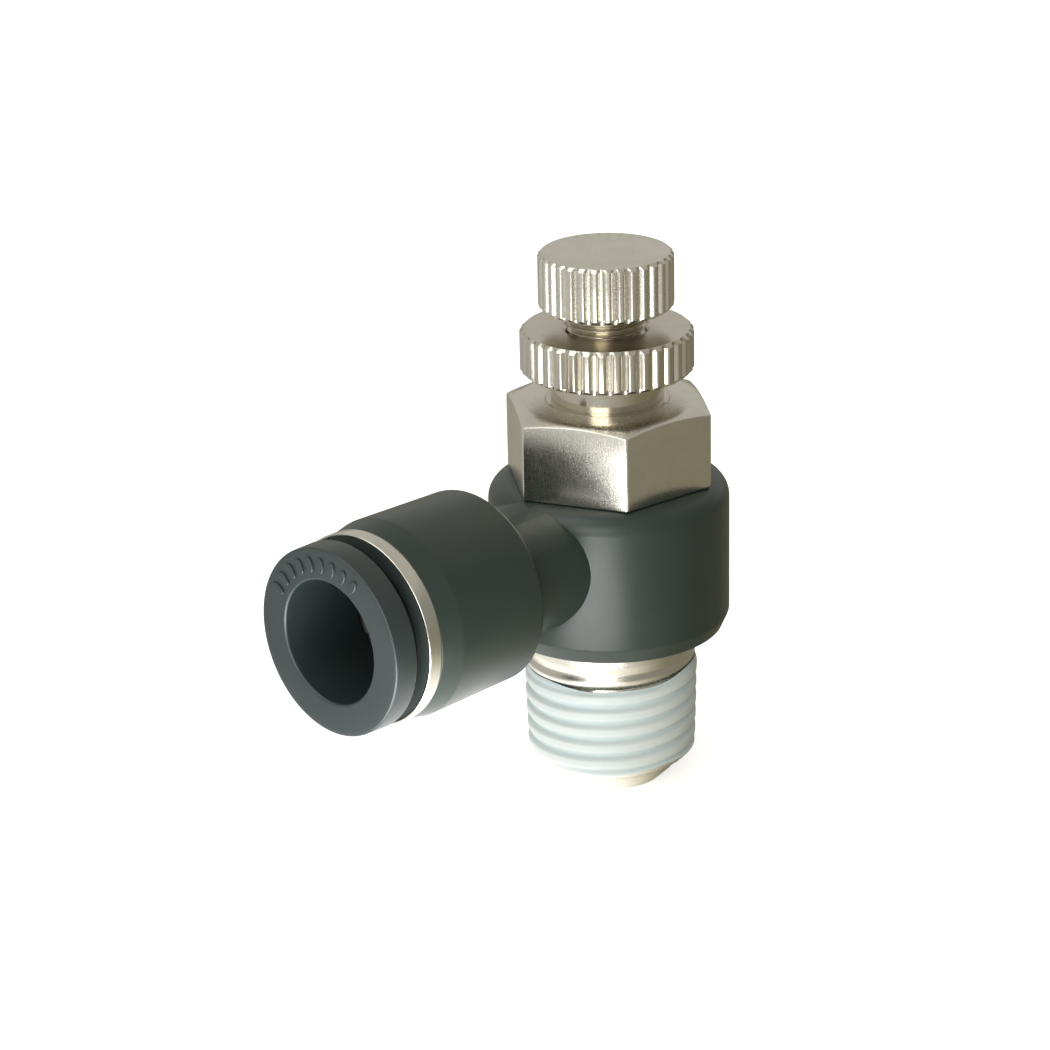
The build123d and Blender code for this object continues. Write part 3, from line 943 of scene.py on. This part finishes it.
def elbow_shell():
    """The shell round the tube socket, solid."""
    return cleaned(onto_arm(turned_solid(
        "shell",
        (0, SHELL_REAR),
        (7.72, SHELL_REAR, 0.55),
        (7.86, SHELL_FRONT - 1.9, 1.2),
        (7.46, SHELL_FRONT, 0.12),
        (0, SHELL_FRONT),
        sides=192,
        steps=8,
    )))


def stem_bore():
    """What the banjo's bore takes away: two seal bores, with the wide air gallery between them."""
    seal, wide = 7.0, 8.0
    return cleaned(turned_solid(
        "stem_bore",
        (0, ELBOW_BOTTOM - 1),
        (wide, ELBOW_BOTTOM - 1),
        (wide, 8.3),
        (seal, 8.3),
        (seal, GALLERY_LOW),
        (wide, GALLERY_LOW),
        (wide, GALLERY_HIGH),
        (seal, GALLERY_HIGH),
        (seal, ELBOW_TOP + 1),
        (0, ELBOW_TOP + 1),
        sides=160,
    ))


def arm_bore():
    """What the arm's bore takes away: air passage, tube socket and the claw's cavity."""
    passage, socket, cavity = 2.3, 15.45, 17.6
    return cleaned(onto_arm(turned_solid(
        "arm_bore",
        (0, 6.5),
        (passage, 6.5),
        (passage, socket - 0.5),
        (3.1, socket),
        (TUBE_BORE_R, socket),
        (TUBE_BORE_R, cavity - 0.3),
        (TUBE_BORE_R + 0.3, cavity),
        (CAVITY_R, cavity),
        (CAVITY_R, SHELL_FRONT + 1),
        (0, SHELL_FRONT + 1),
        sides=144,
    )))


def build_elbow():
    """Resin elbow: banjo, neck and tube shell in one moulding, with its real bores."""
    elbow = elbow_banjo()
    combined(elbow, elbow_neck(), "UNION")
    combined(elbow, elbow_shell(), "UNION")
    combined(elbow, stem_bore(), "DIFFERENCE")
    combined(elbow, arm_bore(), "DIFFERENCE")
    cleaned(elbow, sharp=35, merge=0.0005)
    finished(elbow, "elbow", "black_resin", BODY_RESIN, "elbow_body")


build_valve_body()
build_sealant()
build_guide()
build_needle()
build_lock_nut()
build_knob()
build_elbow()
build_collar()
build_release_ring()
build_grip_marks()

HIDDEN_FINISH = {
    "seat_ring": SEAT_METAL,
    "guide_o_ring": RUBBER,
    "upper_o_ring": RUBBER,
    "lower_o_ring": RUBBER,
    "check_seal": RUBBER,
    "needle_o_ring": RUBBER,
    "tube_seal": RUBBER,
    "retaining_ring": STRIP_SHADED_DARK,
    "lock_claw": STRIP_SHADED_DARK,
    "claw_guide": GUIDE_RESIN,
    "seal_spacer": GUIDE_RESIN,
}
for node_name, node_material in HIDDEN_FINISH.items():
    for material_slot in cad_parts[node_name].material_slots:
        material_slot.material = node_material


# ---- floor, light and camera ----------------------------------------------------------------------
def flat_sheet(name, height):
    """A large level sheet at a height."""
    low, high = -SHEET_HALF, SHEET_HALF
    corners = [(low, low, height), (high, low, height), (high, high, height), (low, high, height)]
    return mesh_object(name, corners, [(0, 1, 2, 3)])


def build_floor():
    """A plain pale floor that the thread's end stands on."""
    floor = flat_sheet("floor", THREAD_END)
    material, graph, shader = material_graph("pale_floor")
    cloud = graph.noise(place_mm(graph), 0.6, 3.0)
    paper = graph.mix(cloud, (0.93, 0.93, 0.93), (0.95, 0.95, 0.95))
    put(graph, shader, Base_Color=paper, Roughness=0.9)
    put(graph, shader, Emission_Color=(1, 1, 1, 1), Emission_Strength=0.6)
    floor.data.materials.append(material)
    floor.visible_glossy = False
    floor.visible_diffuse = False


def facing(graph, x, y, degrees):
    """Cosine of the turn between a flat direction and one that is so far round from the front."""
    reach = graph.maths("SQRT", x * x + y * y).math("MAXIMUM", 0.001)
    turn = radians(degrees)
    return (x * sin(turn) - y * cos(turn)) / reach


def paper_light(graph, x, y):
    """The lit paper in a flat direction: its sweep from 0 behind to 1 in front, and its brightness."""
    sweep = graph.step(facing(graph, x, y, -10), -0.75, 0.95)
    return sweep, 0.28 + sweep * 0.38


def light_tint(graph, warmth):
    """The colour of the light, from cool at 0 to warm at 1."""
    return graph.mix(warmth, (1.0, 1.0, 0.98), (1.0, 0.93, 0.67))


def build_paper_glow():
    """Unseen sheet under the floor: lit paper, brightest round the valve's foot and to the front."""
    sheet = flat_sheet("paper_glow", THREAD_END - 0.5)
    material, graph, shader = material_graph("lit_paper")
    x, y = graph.xyz(place_mm(graph))[:2]
    sweep, paper = paper_light(graph, x, y)
    near = 1 - graph.step(graph.maths("SQRT", x * x + y * y), 5.0, 70.0)
    values = {0: light_tint(graph, 1 - sweep), 3: paper + sweep * near * 1.25}
    lit = graph.node("ShaderNodeVectorMath", {"operation": "SCALE"}, values)
    put(graph, shader, Base_Color=(0, 0, 0, 1), Specular_IOR_Level=0.0)
    put(graph, shader, Emission_Color=lit, Emission_Strength=1.0)
    sheet.data.materials.append(material)
    sheet.visible_camera = False


def build_world():
    """Soft studio surround: a pale ceiling, a window to the front and a dim warm right side."""
    world = bpy.data.worlds.new("studio")
    bpy.context.scene.world = world
    world.use_nodes = True
    graph = Graph(world.node_tree)
    x, y, z = graph.xyz(graph.node("ShaderNodeTexCoord"))
    sweep, paper = paper_light(graph, x, y)
    above = graph.step(z, -0.04, 0.12)
    wall = 1 - graph.step(z, 0.45, 0.75)
    right = graph.step(facing(graph, x, y, 112), 0.25, 0.85) * wall
    window = graph.step(facing(graph, x, y, 28), 0.93, 0.98) * wall
    room = 0.60 - right * 0.28 + window * 3.4 - graph.step(z, 0.5, 1.0) * 0.10
    warmth = (1 - sweep) * (1 - above) + above * 0.25
    values = {"Color": light_tint(graph, warmth), "Strength": paper * (1 - above) + room * above}
    glow = graph.node("ShaderNodeBackground", None, values)
    graph.node("ShaderNodeOutputWorld", None, {0: glow})


def softbox(name, place, aim, width, length, glow):
    """A rectangular light of a given brightness that faces a point. The camera doesn't see it."""
    lamp = bpy.data.lights.new(name, "AREA")
    lamp.shape = "RECTANGLE"
    lamp.size, lamp.size_y = width * MM, length * MM
    lamp.energy = glow * pi * lamp.size * lamp.size_y
    made = bpy.data.objects.new(name, lamp)
    made.location = Vector(place) * MM
    made.rotation_mode = "QUATERNION"
    made.rotation_quaternion = (Vector(place) - Vector(aim)).to_track_quat("Z", "Y")
    made.visible_camera = False
    bpy.context.scene.collection.objects.link(made)


def build_camera():
    """Camera at the reference viewpoint: a long lens, a little above the valve and slightly rolled."""
    azimuth, elevation, roll = radians(44.99), radians(21.18), radians(-1.28)
    distance, lens = 0.2703, 115.4
    aim = Vector((-4.93, -4.60, ARM_Z + 0.595)) * MM
    back = Vector((sin(azimuth) * cos(elevation), -cos(azimuth) * cos(elevation), sin(elevation)))
    camera = bpy.data.cameras.new("camera")
    camera.lens = lens
    camera.sensor_width = 36
    camera.clip_start, camera.clip_end = 0.01, 20
    made = bpy.data.objects.new("camera", camera)
    bpy.context.scene.collection.objects.link(made)
    made.location = aim + back * distance
    made.rotation_mode = "QUATERNION"
    level = (-back).to_track_quat("-Z", "Y")
    made.rotation_quaternion = level @ Matrix.Rotation(roll, 3, "Z").to_quaternion()
    bpy.context.scene.camera = made


build_floor()
build_paper_glow()
build_world()
softbox("front", (33, -65.5, THREAD_END + 1), (34, -67.5, 110), 46, 74, 8.0)
softbox("top", (-60, -160, 300), (0, 0, 15), 260, 260, 1.6)
build_camera()
bpy.context.scene.view_settings.view_transform = "Standard"
